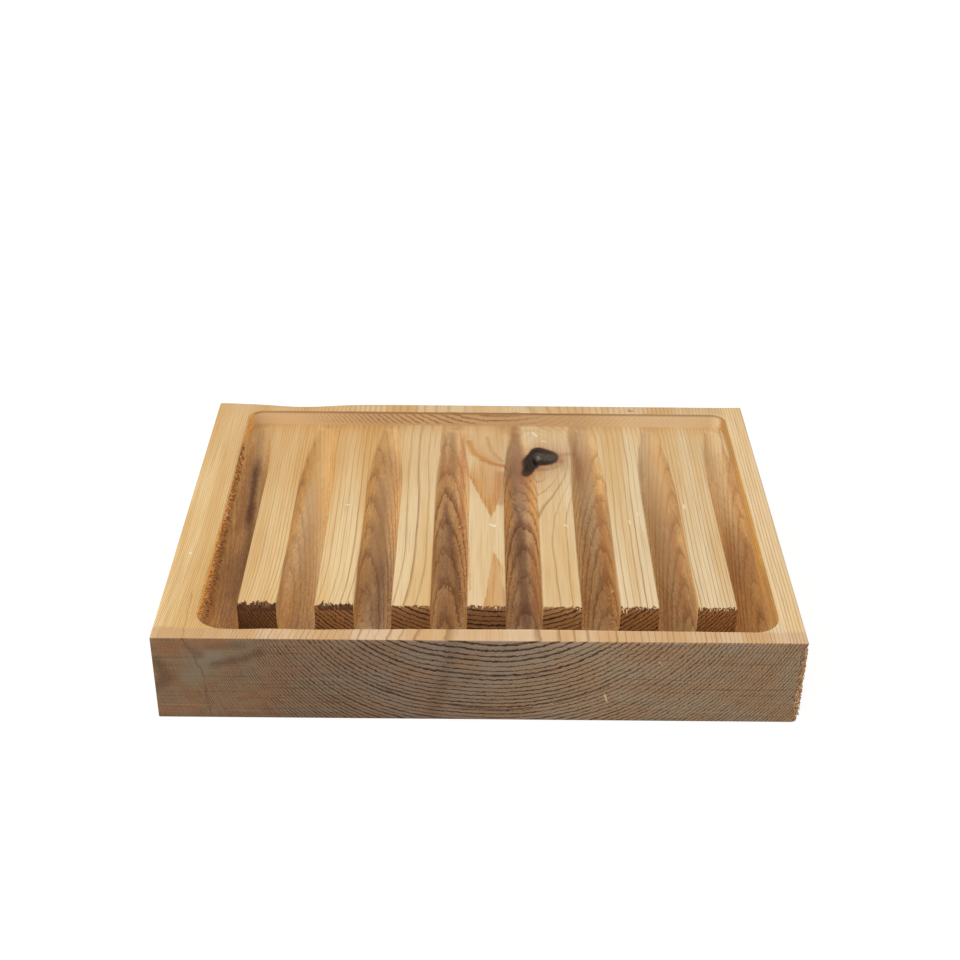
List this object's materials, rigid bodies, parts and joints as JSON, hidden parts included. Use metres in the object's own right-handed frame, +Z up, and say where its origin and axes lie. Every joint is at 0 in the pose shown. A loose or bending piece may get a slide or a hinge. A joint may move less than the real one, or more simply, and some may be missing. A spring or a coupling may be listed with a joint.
{
  "type": "soap dish",
  "caption": "Low rectangular wooden soap dish with a shallow recess, draining ribs and sloping channels.",
  "frame": {"origin": "centre of the underside, on the surface that the dish rests on", "axes": "+X to the right along the front rim, +Y towards the back rim along the ribs, +Z up"},
  "size_m": [0.12, 0.09, 0.0185],
  "materials": {
    "softwood": "planed and unfinished",
    "knot_wood": "rough dark dead knot"
  },
  "bodies": {
    "root": {"dish_body": "softwood", "dead_knot": "knot_wood"}
  },
  "joints": []
}
